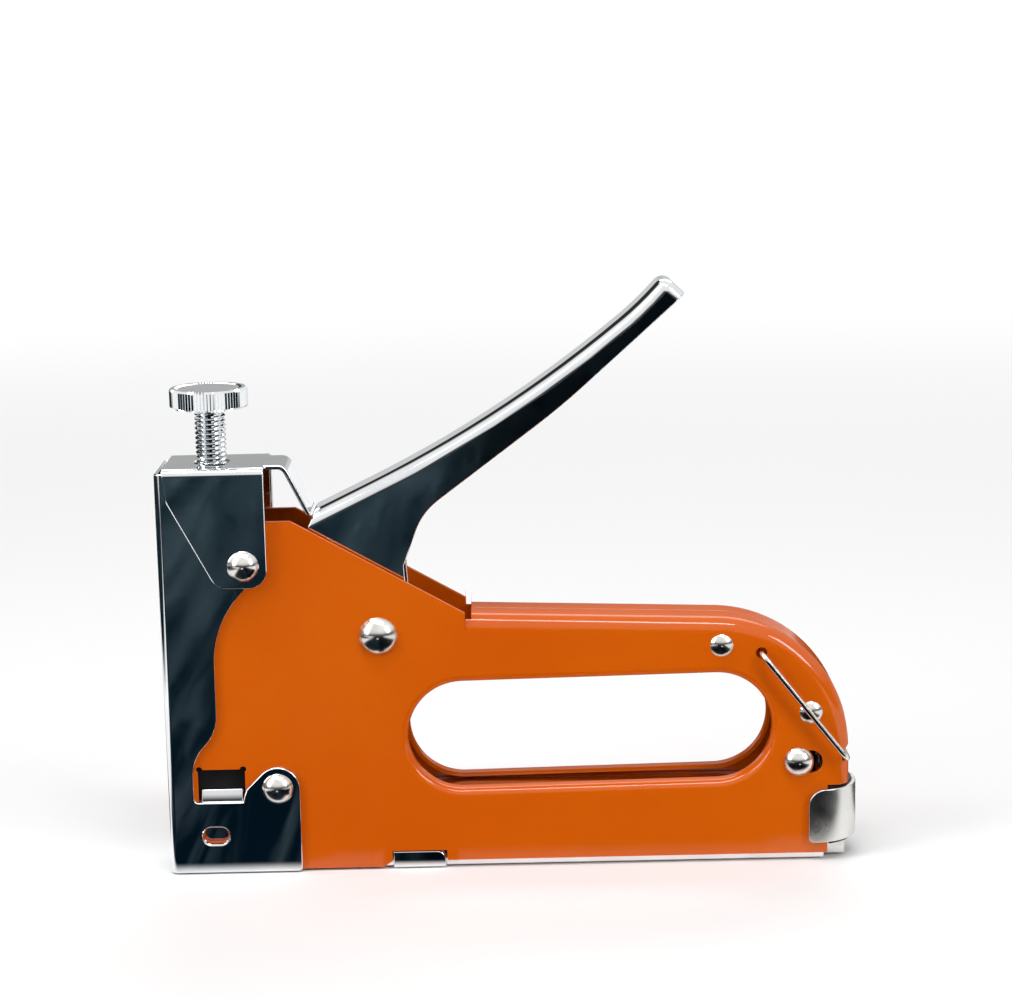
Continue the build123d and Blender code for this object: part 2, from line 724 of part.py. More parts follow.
with BuildPart() as spring_seat:
    with BuildSketch(Plane.XY.offset(seat_low)):
        with Locations((adjuster_x, 0)):
            Circle(seat_r)
    extrude(amount=seat_high - seat_low)
    with BuildSketch(Plane.XY.offset(seat_low)):
        with Locations((adjuster_x, 0)):
            Circle(spring_hole_r - 0.4)
    extrude(amount=-3.5)
    chamfer(spring_seat.edges().filter_by(GeomType.CIRCLE).group_by(Axis.Z)[-1], 0.4)
spring_seat.part.label = "spring_seat"
export_step(spring_seat.part, "parts/spring_seat.step")

# Adjuster: screw with a broad knob, and the square nut held under the cap
screw_r = 3.2
knob_r = 8.0
knob_low = 96.9
knob_high = 101.0
nut_side = 11.0
nut_height = 2.0

with BuildPart() as adjuster_screw:
    with BuildSketch(Plane.XY.offset(seat_high + layer_gap)):
        with Locations((adjuster_x, 0)):
            Circle(screw_r)
    extrude(amount=knob_low - seat_high - layer_gap)
    chamfer(adjuster_screw.edges().filter_by(GeomType.CIRCLE).sort_by(Axis.Z)[0], 0.6)
    with BuildSketch(Plane.XY.offset(knob_low)):
        with Locations((adjuster_x, 0)):
            Circle(knob_r)
    extrude(amount=knob_high - knob_low)
    chamfer(adjuster_screw.edges().filter_by(GeomType.CIRCLE).group_by(Axis.Z)[-1], 0.5)
adjuster_screw.part.label = "adjuster_screw"
export_step(adjuster_screw.part, "parts/adjuster_screw.step")

with BuildPart() as adjuster_nut:
    with BuildSketch(Plane.XY.offset(cap_z - nut_height)):
        with Locations((adjuster_x, 0)):
            RectangleRounded(nut_side, nut_side, 1.0)
            Circle(screw_r + run_fit, mode=Mode.SUBTRACT)
    extrude(amount=nut_height)
adjuster_nut.part.label = "adjuster_nut"
export_step(adjuster_nut.part, "parts/adjuster_nut.step")

# Magazine channel: an upturned trough with lugs that hook into the shells
hook_height = 2.4
hook_lean = 0.7                             # the hook leans in, so that it slips into the window

with BuildPart() as magazine_channel:
    with BuildSketch(Plane.YZ.offset(channel_front)):
        with Locations((0, 0)):
            Rectangle(2 * channel_out, channel_top, align=(Align.CENTER, Align.MIN))
            Rectangle(
                2 * channel_in,
                channel_top - channel_sheet,
                align=(Align.CENTER, Align.MIN),
                mode=Mode.SUBTRACT,
            )
    extrude(amount=channel_back - channel_front)
    bends = magazine_channel.edges().filter_by(Axis.X)
    bends = bends.filter_by_position(Axis.Z, channel_top - 0.01, channel_top + 0.01)
    fillet(bends, 0.7)
    with BuildSketch(Plane.XZ.offset(channel_in)):
        with Locations((window_x, channel_top - channel_sheet)):
            Rectangle(window_width - 1.2, hook_height + channel_sheet, align=(Align.CENTER, Align.MIN))
    extrude(amount=shell_out - channel_in - slip)
    hooks = magazine_channel.edges().filter_by(Axis.X)
    hook_z = channel_top + hook_height
    hook_edge = hooks.filter_by_position(Axis.Z, hook_z - 0.01, hook_z + 0.01).sort_by(Axis.Y)[0]
    hook_top = magazine_channel.faces().sort_by_distance(hook_edge.center()).filter_by(Axis.Z)[0]
    chamfer(hook_edge, hook_lean, hook_height - 2 * slip, reference=hook_top)
    with BuildSketch(Plane.XZ.offset(channel_in)) as lug:
        with Locations((lug_x, 0)):
            Rectangle(lug_length, lug_height, align=(Align.CENTER, Align.MIN))
        fillet(lug.vertices().sort_by(Axis.Y)[-2:].sort_by(Axis.X)[-1], 2.0)
    extrude(amount=shell_out - channel_in - slip)
    mirror(about=Plane.XZ)
magazine_channel.part.label = "magazine_channel"
export_step(magazine_channel.part, "parts/magazine_channel.step")

# Magazine rail with its rod, tail plug and rear clip: all slide out together
rail_sheet = 0.8
rail_front = channel_front + 0.2
rail_back = rear_x - 0.75
rod_stop = rail_front + 2.4
rod_end = cut_x - 2.6
plug_low = 3.2
plug_high = cut_z - 0.2
clip_low = 3.9
clip_high = 15.3
clip_in = shell_out + 0.3
clip_out = clip_in + clip_sheet
clip_x = rear_x + clip_reach - clip_out     # centre of the clip's round end
clip_wing = cut_x - 4.0

with BuildPart() as magazine_rail:
    with BuildSketch(Plane.YZ.offset(rail_front)):
        with Locations((0, rail_foot)):
            Rectangle(2 * rail_half, rail_top - rail_foot, align=(Align.CENTER, Align.MIN))
        with Locations((0, rail_foot + rail_sheet)):
            Rectangle(
                2 * (rail_half - rail_sheet), rail_top, align=(Align.CENTER, Align.MIN), mode=Mode.SUBTRACT
            )
    extrude(amount=rail_back - rail_front)
    for wall_x in (rod_stop, rod_end):
        with BuildSketch(Plane.YZ.offset(wall_x)):
            with Locations((0, rail_foot)):
                Rectangle(2 * rail_half - rail_sheet, 10.5, align=(Align.CENTER, Align.MIN))
        extrude(amount=rail_sheet)
magazine_rail.part.label = "magazine_rail"
export_step(magazine_rail.part, "parts/magazine_rail.step")

with BuildPart() as pusher_rod:
    with BuildSketch(Plane.YZ.offset(rod_stop + rail_sheet)):
        with Locations((0, rod_z)):
            Circle(rod_r)
    extrude(amount=rod_end - rod_stop - rail_sheet)
pusher_rod.part.label = "pusher_rod"
export_step(pusher_rod.part, "parts/pusher_rod.step")

with BuildPart() as rail_plug:
    with BuildSketch(Plane.XY.offset(plug_low)):
        with Locations((clip_x, 0)):
            Circle(clip_in)
        with Locations((cut_x + 2 * slip, 0)):
            Rectangle(length, 3 * clip_in, align=(Align.MAX, Align.CENTER), mode=Mode.SUBTRACT)
    extrude(amount=plug_high - plug_low)
    with BuildSketch(Plane.YZ.offset(cut_x - 1)):
        with Locations((0, 0)):
            Rectangle(2 * (rail_half + layer_gap), rail_top + layer_gap, align=(Align.CENTER, Align.MIN))
    extrude(amount=rail_back + layer_gap - cut_x + 1, mode=Mode.SUBTRACT)
rail_plug.part.label = "rail_plug"
export_step(rail_plug.part, "parts/rail_plug.step")

with BuildPart() as rear_clip:
    with BuildSketch(Plane.XY.offset(clip_low)):
        with Locations((clip_x, 0)):
            Circle(clip_out)
            Rectangle(clip_x - clip_wing, 2 * clip_out, align=(Align.MAX, Align.CENTER))
            Circle(clip_in, mode=Mode.SUBTRACT)
            Rectangle(length, 2 * clip_in, align=(Align.MAX, Align.CENTER), mode=Mode.SUBTRACT)
    extrude(amount=clip_high - clip_low)
    with BuildSketch(Plane.XZ) as wing:
        with Locations((clip_wing, clip_low)):
            Rectangle(length, clip_high - clip_low, align=(Align.MIN, Align.MIN))
        edge_points = wing.vertices().sort_by(Axis.X)[:2].sort_by(Axis.Y)
        fillet(edge_points[1], 3.4)
        fillet(wing.vertices().sort_by(Axis.X).sort_by_distance((clip_wing, clip_low))[0], 1.0)
    extrude(amount=2 * clip_out, both=True, mode=Mode.INTERSECT)
rear_clip.part.label = "rear_clip"
export_step(rear_clip.part, "parts/rear_clip.step")

# Pusher: a saddle over the rail, joined by its neck to a block that rides on the rod
pusher_front = rail_front + 0.3
pusher_length = 14.0
pusher_sheet = 0.6
pusher_half = channel_in - 0.15
pusher_inner = rail_half + 0.2
block_front = rod_stop + rail_sheet + 0.3
block_length = 9.0

with BuildPart() as pusher:
    with BuildSketch(Plane.YZ.offset(pusher_front)):
        with Locations((0, 4.0)):
            Rectangle(
                2 * pusher_half, rail_top + slip + pusher_sheet - 4.0, align=(Align.CENTER, Align.MIN)
            )
            Rectangle(
                2 * pusher_inner, rail_top + slip - 4.0, align=(Align.CENTER, Align.MIN), mode=Mode.SUBTRACT
            )
    extrude(amount=pusher_length)
    with BuildSketch(Plane.YZ.offset(block_front)):
        with Locations((0, rail_top + slip)):
            Rectangle(3.0, 6.0, align=(Align.CENTER, Align.MAX))
        with Locations((0, rod_z)):
            Rectangle(2 * (rail_half - rail_sheet - free), 7.0)
            Circle(rod_r + run_fit, mode=Mode.SUBTRACT)
    extrude(amount=block_length)
pusher.part.label = "pusher"
export_step(pusher.part, "parts/pusher.step")

with BuildPart() as pusher_spring:
    with BuildSketch(Plane.YZ.offset(block_front + block_length)):
        with Locations((0, rod_z)):
            Circle(3.0)
            Circle(rod_r + 0.4, mode=Mode.SUBTRACT)
    extrude(amount=rod_end - block_front - block_length)
pusher_spring.part.label = "pusher_spring"
export_step(pusher_spring.part, "parts/pusher_spring.step")

# Latch: the pin in the slots, the hook plate on it and its spring
plate_half = 2.0
plate_r = 4.2
latch_head_r = 3.15
latch_head_h = 1.8
hook_low = channel_top + 1.0
catch_spring_r = 1.9
catch_z = hook_low + 0.5 + catch_spring_r     # the spring lies below the lock wire's seat

with BuildPart() as latch_pin:
    through_rivet(latch_x, latch_z, shell_out + slip, latch_head_r, latch_head_h, latch_r)
latch_pin.part.label = "latch_pin"
export_step(latch_pin.part, "parts/latch_pin.step")

with BuildPart() as latch_plate:
    with BuildSketch(Plane.XZ):
        with Locations((latch_x, latch_z)):
            Circle(plate_r)
        with Locations((latch_x - plate_half, hook_low)):
            Rectangle(plate_half + plate_r, latch_z - hook_low, align=(Align.MIN, Align.MIN))
        with Locations((latch_x, latch_z)):
            Circle(latch_r + layer_gap, mode=Mode.SUBTRACT)
    extrude(amount=plate_half, both=True)
latch_plate.part.label = "latch_plate"
export_step(latch_plate.part, "parts/latch_plate.step")

with BuildPart() as latch_spring:
    with BuildSketch(Plane.YZ.offset(latch_x + plate_r + layer_gap)):
        with Locations((0, catch_z)):
            Circle(catch_spring_r)
            Circle(catch_spring_r - 0.7, mode=Mode.SUBTRACT)
    extrude(amount=rear_x - shell_sheet - latch_x - plate_r - layer_gap - 0.25)
latch_spring.part.label = "latch_spring"
export_step(latch_spring.part, "parts/latch_spring.step")

# Lock wire: a bail that turns in the two small holes of the shells
wire_in = 4.8
wire_bend = 2.2
wire_side = wire_half - wire_bend
wire_dir = Vector(math.cos(wire_angle), 0, math.sin(wire_angle))
wire_axis = Vector(-math.sin(wire_angle), 0, math.cos(wire_angle))
hinge = Vector(wire_x, 0, wire_z)

with BuildPart() as lock_wire:
    with BuildSketch(Plane(origin=hinge - Vector(0, wire_in, 0), z_dir=(0, -1, 0))):
        Circle(wire_r)
    extrude(amount=wire_side - wire_in)
    elbow = hinge - Vector(0, wire_side, 0)
    with BuildSketch(Plane(origin=elbow, z_dir=(0, -1, 0))):
        Circle(wire_r)
    revolve(axis=Axis(elbow + wire_dir * wire_bend, wire_axis), revolution_arc=90)
    leg = hinge - Vector(0, wire_half, 0) + wire_dir * wire_bend
    with BuildSketch(Plane(origin=leg, z_dir=wire_dir)):
        Circle(wire_r)
    extrude(amount=wire_reach - 2 * wire_bend)
    knuckle = leg + wire_dir * (wire_reach - 2 * wire_bend)
    with BuildSketch(Plane(origin=knuckle, z_dir=wire_dir)):
        Circle(wire_r)
    revolve(axis=Axis(knuckle + Vector(0, wire_bend, 0), wire_axis), revolution_arc=90)
    with BuildSketch(Plane(origin=(wire_end_x, -wire_side, wire_end_z), z_dir=(0, 1, 0))):
        Circle(wire_r)
    extrude(amount=wire_side)
    mirror(about=Plane.XZ)
lock_wire.part.label = "lock_wire"
export_step(lock_wire.part, "parts/lock_wire.step")
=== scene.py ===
import bpy
import bmesh
import json
import math
from mathutils import Matrix, Vector


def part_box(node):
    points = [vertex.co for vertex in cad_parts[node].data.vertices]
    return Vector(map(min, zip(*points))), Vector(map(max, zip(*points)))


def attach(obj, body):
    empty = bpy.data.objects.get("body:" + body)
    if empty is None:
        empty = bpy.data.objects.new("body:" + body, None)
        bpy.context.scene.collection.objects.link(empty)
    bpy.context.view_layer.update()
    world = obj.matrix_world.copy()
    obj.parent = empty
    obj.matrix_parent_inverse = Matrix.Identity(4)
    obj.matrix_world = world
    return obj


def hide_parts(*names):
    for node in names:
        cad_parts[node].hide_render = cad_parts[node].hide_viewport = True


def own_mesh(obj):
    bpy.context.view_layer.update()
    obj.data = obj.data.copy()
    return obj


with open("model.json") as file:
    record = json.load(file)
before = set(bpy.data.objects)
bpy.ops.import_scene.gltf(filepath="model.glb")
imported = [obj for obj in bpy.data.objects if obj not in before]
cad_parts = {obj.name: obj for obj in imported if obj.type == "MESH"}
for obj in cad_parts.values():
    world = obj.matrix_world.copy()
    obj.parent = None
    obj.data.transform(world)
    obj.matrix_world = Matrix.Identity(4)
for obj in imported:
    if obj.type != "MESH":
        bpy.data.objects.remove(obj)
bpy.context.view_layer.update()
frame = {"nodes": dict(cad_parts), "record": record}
nodes = frame["nodes"]
record = frame["record"]
scene = bpy.context.scene
scene.view_settings.view_transform = "Standard"
bodyOf = {member: body for body, members in record["behaviour"]["bodies"].items() for member in members}
slotOf = {entry["node"]: entry["material_slot"] for entry in record["subparts"]}
print("frame loaded with", len(nodes), "nodes")


# camera: the photograph's angle, a touch of roll
cameraSet = {"place": (-0.0005, -0.5026, 0.1739), "down": 11.0, "roll": -1.2, "lens": 88.4, "sensor": 36}
cameraData = bpy.data.cameras.new("photoCamera")
cameraData.sensor_width = cameraSet["sensor"]
cameraData.lens = cameraSet["lens"]
camera = bpy.data.objects.new("photoCamera", cameraData)
scene.collection.objects.link(camera)
tilt = Matrix.Rotation(math.radians(90 - cameraSet["down"]), 4, "X")
lean = Matrix.Rotation(math.radians(cameraSet["roll"]), 4, "Z")
camera.matrix_world = Matrix.Translation(cameraSet["place"]) @ tilt @ lean
scene.camera = camera
print("camera set")


# node helpers for the finishes, the stage and the room
noiseSpan = (0.35, 0.65)  # most of a noise pattern lies between these


def freshMaterial(name):
    made = bpy.data.materials.new(name)
    made.use_nodes = True
    tree = made.node_tree
    return made, tree, tree.nodes["Principled BSDF"]


def addNode(tree, kind, **values):
    node = tree.nodes.new(kind)
    for key, value in values.items():
        setattr(node, key, value)
    return node


def noiseOn(tree, coords, scale, detail=2.0, distortion=0.0, stretch=(1, 1, 1)):
    place = addNode(tree, "ShaderNodeMapping")
    place.inputs["Scale"].default_value = stretch
    noise = addNode(tree, "ShaderNodeTexNoise")
    noise.inputs["Scale"].default_value = scale
    noise.inputs["Detail"].default_value = detail
    noise.inputs["Distortion"].default_value = distortion
    tree.links.new(coords.outputs["Object"], place.inputs["Vector"])
    tree.links.new(place.outputs["Vector"], noise.inputs["Vector"])
    return noise.outputs["Fac"]


def rampTo(tree, source, target, low, high):
    spread = addNode(tree, "ShaderNodeMapRange")
    spread.inputs["From Min"].default_value = noiseSpan[0]
    spread.inputs["From Max"].default_value = noiseSpan[1]
    spread.inputs["To Min"].default_value = low
    spread.inputs["To Max"].default_value = high
    tree.links.new(source, spread.inputs["Value"])
    tree.links.new(spread.outputs["Result"], target)


def mixTo(tree, source, target, first, second, span=noiseSpan):
    ramp = addNode(tree, "ShaderNodeValToRGB")
    for mark, place, colour in zip(ramp.color_ramp.elements, span, (first, second)):
        mark.position = place
        mark.color = (*colour, 1)
    tree.links.new(source, ramp.inputs["Fac"])
    tree.links.new(ramp.outputs["Color"], target)


def bumpChain(tree, shader, layers):
    last = None
    for source, strength, depth in layers:
        bump = addNode(tree, "ShaderNodeBump")
        bump.inputs["Strength"].default_value = strength
        bump.inputs["Distance"].default_value = depth
        tree.links.new(source, bump.inputs["Height"])
        if last:
            tree.links.new(last.outputs["Normal"], bump.inputs["Normal"])
        last = bump
    tree.links.new(last.outputs["Normal"], shader.inputs["Normal"])


def combine(tree, kind, *values):
    node = addNode(tree, "ShaderNodeMath", operation=kind)
    for socket, value in zip(node.inputs, values[:2]):
        if isinstance(value, float):
            socket.default_value = value
        else:
            tree.links.new(value, socket)
    result = node.outputs["Value"]
    if values[2:]:
        return combine(tree, kind, result, *values[2:])
    return result


def fadeIn(tree, source, low, high):
    spread = addNode(tree, "ShaderNodeMapRange", interpolation_type="SMOOTHSTEP")
    spread.inputs["From Min"].default_value = low
    spread.inputs["From Max"].default_value = high
    tree.links.new(source, spread.inputs["Value"])
    return spread.outputs["Result"]


def fadeOut(tree, source, low, high):
    return combine(tree, "SUBTRACT", 1.0, fadeIn(tree, source, low, high))


def blendOf(tree, share, first, second):
    mix = addNode(tree, "ShaderNodeMixShader")
    for socket, source in zip(mix.inputs, (share, first, second)):
        tree.links.new(source, socket)
    return mix.outputs["Shader"]


# gloss enamel on the pressed shells: slow colour drift, faint orange peel, clear coat on top
# patterns are scale and detail, bumps are strength and depth
enamelSet = {
    "deep": (0.596, 0.094, 0.0006), "light": (0.622, 0.108, 0.0008), "rough": (0.20, 0.24),
    "drift": (28, 3), "haze": (45, 1), "swell": (120, 1), "peel": (900, 1.5),
    "swellBump": (0.12, 0.0004), "peelBump": (0.10, 0.00006),
    "baseBend": 1.05, "coat": 0.35, "coatRough": 0.08, "coatBend": 2.0,
}


def enamelFinish():
    made, tree, shader = freshMaterial("glossEnamel")
    coords = addNode(tree, "ShaderNodeTexCoord")
    drift = noiseOn(tree, coords, *enamelSet["drift"])
    mixTo(tree, drift, shader.inputs["Base Color"], enamelSet["deep"], enamelSet["light"])
    haze = noiseOn(tree, coords, *enamelSet["haze"])
    rampTo(tree, haze, shader.inputs["Roughness"], *enamelSet["rough"])
    swell = noiseOn(tree, coords, *enamelSet["swell"])
    peel = noiseOn(tree, coords, *enamelSet["peel"])
    bumpChain(tree, shader, [(swell, *enamelSet["swellBump"]), (peel, *enamelSet["peelBump"])])
    shader.inputs["IOR"].default_value = enamelSet["baseBend"]
    shader.inputs["Coat Weight"].default_value = enamelSet["coat"]
    shader.inputs["Coat Roughness"].default_value = enamelSet["coatRough"]
    shader.inputs["Coat IOR"].default_value = enamelSet["coatBend"]
    return made


# plated and bare metals share one build: tone drift, rough patches, press waves and fine grain
# layers are scale as a multiple of the wave's, detail and distortion; grain is its scale along each axis
metalLayers = {"cloud": (1.7, 4, 0.0), "smear": (3.1, 5, 0.6), "wave": (1.0, 1, 0.4)}
chromeSet = {
    "name": "brightChrome", "dark": (0.80, 0.82, 0.84), "light": (0.88, 0.90, 0.91),
    "rough": (0.03, 0.07), "wave": 55, "waveBump": (0.30, 0.00022),
    "grain": (300, 30, 700), "grainBump": (0.12, 0.000008),
}
nickelSet = {
    "name": "nickelRivet", "dark": (0.72, 0.70, 0.66), "light": (0.82, 0.80, 0.76),
    "rough": (0.15, 0.22), "wave": 260, "waveBump": (0.25, 0.00012),
    "grain": (900, 900, 900), "grainBump": (0.2, 0.00002),
}
zincSet = {
    "name": "satinZinc", "dark": (0.72, 0.72, 0.69), "light": (0.80, 0.80, 0.77),
    "rough": (0.22, 0.30), "wave": 60, "waveBump": (0.15, 0.0001),
    "grain": (900, 900, 120), "grainBump": (0.15, 0.00001),
}
# inner steel: near-black base colour, darkened so the parts seen through the window read dark: painted
# shade
steelSet = {
    "name": "paintedShadeSteel", "dark": (0.014, 0.015, 0.017), "light": (0.034, 0.035, 0.038),
    "rough": (0.30, 0.46), "wave": 90, "waveBump": (0.3, 0.0001),
    "grain": (120, 700, 700), "grainBump": (0.35, 0.00003),
}
springSet = {
    "name": "drawnWire", "dark": (0.24, 0.24, 0.25), "light": (0.42, 0.42, 0.43),
    "rough": (0.22, 0.36), "wave": 400, "waveBump": (0.2, 0.00006),
    "grain": (1500, 1500, 300), "grainBump": (0.25, 0.00001),
}


def metalFinish(look):
    made, tree, shader = freshMaterial(look["name"])
    coords = addNode(tree, "ShaderNodeTexCoord")
    layers = {}
    for layer, (times, detail, distortion) in metalLayers.items():
        layers[layer] = noiseOn(tree, coords, look["wave"] * times, detail, distortion)
    mixTo(tree, layers["cloud"], shader.inputs["Base Color"], look["dark"], look["light"])
    rampTo(tree, layers["smear"], shader.inputs["Roughness"], *look["rough"])
    grain = noiseOn(tree, coords, 1.0, stretch=look["grain"])
    bumpChain(tree, shader, [(layers["wave"], *look["waveBump"]), (grain, *look["grainBump"])])
    shader.inputs["Metallic"].default_value = 1.0
    return made


# moulded black plastic and rubber: fine spark texture, dust in patches
mouldBase = {"dust": (90, 5), "rub": (210, 3), "shine": 0.22}
mouldSet = {
    "name": "mouldedBlack", "dark": (0.004, 0.004, 0.005), "light": (0.012, 0.012, 0.014),
    "rough": (0.42, 0.62), "spark": 1400, "sparkBump": (0.35, 0.00005),
}
rubberSet = {
    "name": "bumperRubber", "dark": (0.010, 0.010, 0.010), "light": (0.036, 0.035, 0.034),
    "rough": (0.62, 0.85), "spark": 700, "sparkBump": (0.35, 0.00009),
}


def mouldFinish(look):
    made, tree, shader = freshMaterial(look["name"])
    coords = addNode(tree, "ShaderNodeTexCoord")
    dust = noiseOn(tree, coords, *mouldBase["dust"])
    mixTo(tree, dust, shader.inputs["Base Color"], look["dark"], look["light"])
    rub = noiseOn(tree, coords, *mouldBase["rub"])
    rampTo(tree, rub, shader.inputs["Roughness"], *look["rough"])
    spark = noiseOn(tree, coords, look["spark"])
    bumpChain(tree, shader, [(spark, *look["sparkBump"])])
    shader.inputs["Specular IOR Level"].default_value = mouldBase["shine"]
    return made


finishes = {
    "orange_paint": enamelFinish(),
    "chrome": metalFinish(chromeSet),
    "rivet_steel": metalFinish(nickelSet),
    "zinc": metalFinish(zincSet),
    "inner_steel": metalFinish(steelSet),
    "spring_steel": metalFinish(springSet),
    "black_plastic": mouldFinish(mouldSet),
    "black_rubber": mouldFinish(rubberSet),
}
for nodeName, node in nodes.items():
    node.data.materials.clear()
    node.data.materials.append(finishes[slotOf[nodeName]])
print("finishes on", len(nodes), "nodes")


def meshObject(name, bm, material):
    mesh = bpy.data.meshes.new(name)
    bm.to_mesh(mesh)
    bm.free()
    mesh.materials.append(material)
    made = bpy.data.objects.new(name, mesh)
    scene.collection.objects.link(made)
    return made


def putPiece(name, bm, nodeName):
    piece = meshObject(name, bm, finishes[slotOf[nodeName]])
    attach(piece, bodyOf[nodeName])
    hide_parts(nodeName)
    return piece


def edgesAt(verts):
    return list(dict.fromkeys(edge for vert in verts for edge in vert.link_edges))


# sheet pieces: the same form with its sheared edges broken, so that they catch the light
sheetSet = {
    "nose_channel": {"name": "chromeNose", "break": 0.00030},
    "top_cap": {"name": "chromeCap", "break": 0.00030},
    "magazine_channel": {"name": "chromeMagazine", "break": 0.00022},
    "lever": {"name": "squeezeLever", "break": 0.00030},
    "left_shell": {"name": "enamelShellNear", "break": 0.00016},
    "right_shell": {"name": "enamelShellFar", "break": 0.00016},
    "rear_clip": {"name": "zincClip", "break": 0.00020},
    "magazine_rail": {"name": "zincRail", "break": 0.00012},
    "rail_plug": {"name": "mouldedPlug", "break": 0.00018},
}
# angles in degrees: flatter is one face, sharper is broken, harder stays a crease
edgeSet = {"merge": 0.000002, "flatter": 0.5, "sharper": 38, "harder": 48, "steps": 2, "weight": 50}


def turnsPast(edge, degrees):
    return len(edge.link_faces) == 2 and edge.calc_face_angle(0.0) > math.radians(degrees)


def brokenEdges(nodeName, look):
    bm = bmesh.new()
    bm.from_mesh(nodes[nodeName].data)
    bmesh.ops.remove_doubles(bm, verts=bm.verts, dist=edgeSet["merge"])
    bmesh.ops.dissolve_limit(bm, angle_limit=math.radians(edgeSet["flatter"]),
                             use_dissolve_boundaries=False, verts=bm.verts, edges=bm.edges)
    sharp = [edge for edge in bm.edges if turnsPast(edge, edgeSet["sharper"])]
    bmesh.ops.bevel(bm, geom=sharp, offset=look["break"], offset_type="OFFSET", affect="EDGES",
                    segments=edgeSet["steps"], profile=0.5, material=-1, clamp_overlap=False,
                    loop_slide=True)
    for face in bm.faces:
        face.smooth = True
    for edge in bm.edges:
        if turnsPast(edge, edgeSet["harder"]):
            edge.smooth = False
    piece = putPiece(look["name"], bm, nodeName)
    even = piece.modifiers.new("evenNormals", "WEIGHTED_NORMAL")
    even.mode = "FACE_AREA"
    even.weight = edgeSet["weight"]
    even.keep_sharp = True


for nodeName, look in sheetSet.items():
    brokenEdges(nodeName, look)
print("edges broken on", len(sheetSet), "sheet pieces")


# adjuster: a real helical thread on the shank, a straight pointed knurl round the knob
screwSet = {
    "pitch": 0.001, "root": 0.00284, "crest": 0.0032, "flanks": (0.10, 0.42, 0.58, 0.90),
    "steps": 28, "merge": 0.000004, "sunk": 0.0002,
    "knobRadius": 0.008, "knobHeight": 0.0041, "teeth": 74, "tooth": 0.00026,
    "under": 0.955, "inside": 0.36,  # underside of the knob, as shares of its radius
    "section": [(0.0004, 1.0), (0.0037, 1.0), (0.0041, 0.955), (0.0041, 0.86), (0.00395, 0.80)],
}


def windThread(bm, axisX, low, high):
    pitch = screwSet["pitch"]
    root = screwSet["root"]
    crest = screwSet["crest"]
    leave, reach, turnBack, arrive = screwSet["flanks"]
    turns = math.ceil((high - low) / pitch) + 2  # a turn to spare at both ends
    rise = [(root, 0), (root, leave), (crest, reach), (crest, turnBack), (root, arrive), (root, 1)]
    chain = [bm.verts.new((axisX + out, 0, low + (share - 1) * pitch)) for out, share in rise]
    edges = [bm.edges.new(pair) for pair in zip(chain, chain[1:])]
    bmesh.ops.spin(bm, geom=chain + edges, cent=(axisX, 0, 0), axis=(0, 0, 1), angle=2 * math.pi * turns,
                   steps=turns * screwSet["steps"], dvec=(0, 0, pitch / screwSet["steps"]))
    bmesh.ops.remove_doubles(bm, verts=bm.verts, dist=screwSet["merge"])
    for height, outward in ((low, -1), (high + screwSet["sunk"], 1)):
        everything = bm.verts[:] + bm.edges[:] + bm.faces[:]
        cut = bmesh.ops.bisect_plane(bm, geom=everything, plane_co=(axisX, 0, height),
                                     plane_no=(0, 0, outward), clear_outer=True)
        rim = [made for made in cut["geom_cut"] if isinstance(made, bmesh.types.BMEdge)]
        bmesh.ops.holes_fill(bm, edges=rim, sides=0)


def drawRing(bm, edges, lift, times, space):
    made = bmesh.ops.extrude_edge_only(bm, edges=edges)["geom"]
    verts = [part for part in made if isinstance(part, bmesh.types.BMVert)]
    bmesh.ops.translate(bm, vec=(0, 0, lift), verts=verts)
    bmesh.ops.scale(bm, vec=(times, times, 1), space=space, verts=verts)
    drawn = [part for part in made if isinstance(part, bmesh.types.BMEdge)]
    return [edge for edge in drawn if all(vert in verts for vert in edge.verts)]


def knurlKnob(bm, axisX, low):
    ring = bmesh.ops.create_circle(bm, segments=screwSet["teeth"] * 2, radius=screwSet["knobRadius"],
                                   cap_ends=False, matrix=Matrix.Translation((axisX, 0, low)))["verts"]
    for vert in ring[1::2]:
        out = Vector((vert.co.x - axisX, vert.co.y, 0))
        vert.co -= out.normalized() * screwSet["tooth"]
    space = Matrix.Translation((-axisX, 0, 0))
    times = screwSet["under"]
    lift = 0.0
    bmesh.ops.scale(bm, vec=(times, times, 1), space=space, verts=ring)
    current = edgesAt(ring)
    drawRing(bm, current, 0.0, screwSet["inside"], space)
    # up the toothed side with a chamfer at both ends, then into the shallow dish on top
    for nextLift, nextTimes in screwSet["section"]:
        current = drawRing(bm, current, nextLift - lift, nextTimes / times, space)
        lift = nextLift
        times = nextTimes
    bmesh.ops.holes_fill(bm, edges=current, sides=0)


def threadedAdjuster():
    low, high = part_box("adjuster_screw")
    axisX = (low.x + high.x) / 2
    knobLow = high.z - screwSet["knobHeight"]
    bm = bmesh.new()
    windThread(bm, axisX, low.z, knobLow)
    knurlKnob(bm, axisX, knobLow)
    bmesh.ops.recalc_face_normals(bm, faces=bm.faces)
    for face in bm.faces:
        face.smooth = False
    for edge in bm.edges:
        edge.smooth = True
    putPiece("threadedAdjuster", bm, "adjuster_screw")


threadedAdjuster()
print("adjuster threaded and knurled")


# coil springs: one round wire wound along the axis, closed at both ends
coilSet = {
    "main_spring": {
        "name": "powerSpringCoil", "axis": 2, "wire": 0.00065, "turns": 8,
        "joint": "striker_lift", "keep": 0.374,
    },
    "pusher_spring": {
        "name": "feedSpringCoil", "axis": 0, "wire": 0.00025, "turns": 56,
        "joint": "pusher_feed", "keep": 0.285,
    },
    "latch_spring": {
        "name": "latchSpringCoil", "axis": 0, "wire": 0.00028, "turns": 6,
        "joint": "latch_slide", "keep": 0.495,
    },
}
wireSet = {"steps": 20, "sides": 8}  # steps in a turn, sides of the wire


def axisVector(index):
    made = Vector((0, 0, 0))
    made[index] = 1.0
    return made


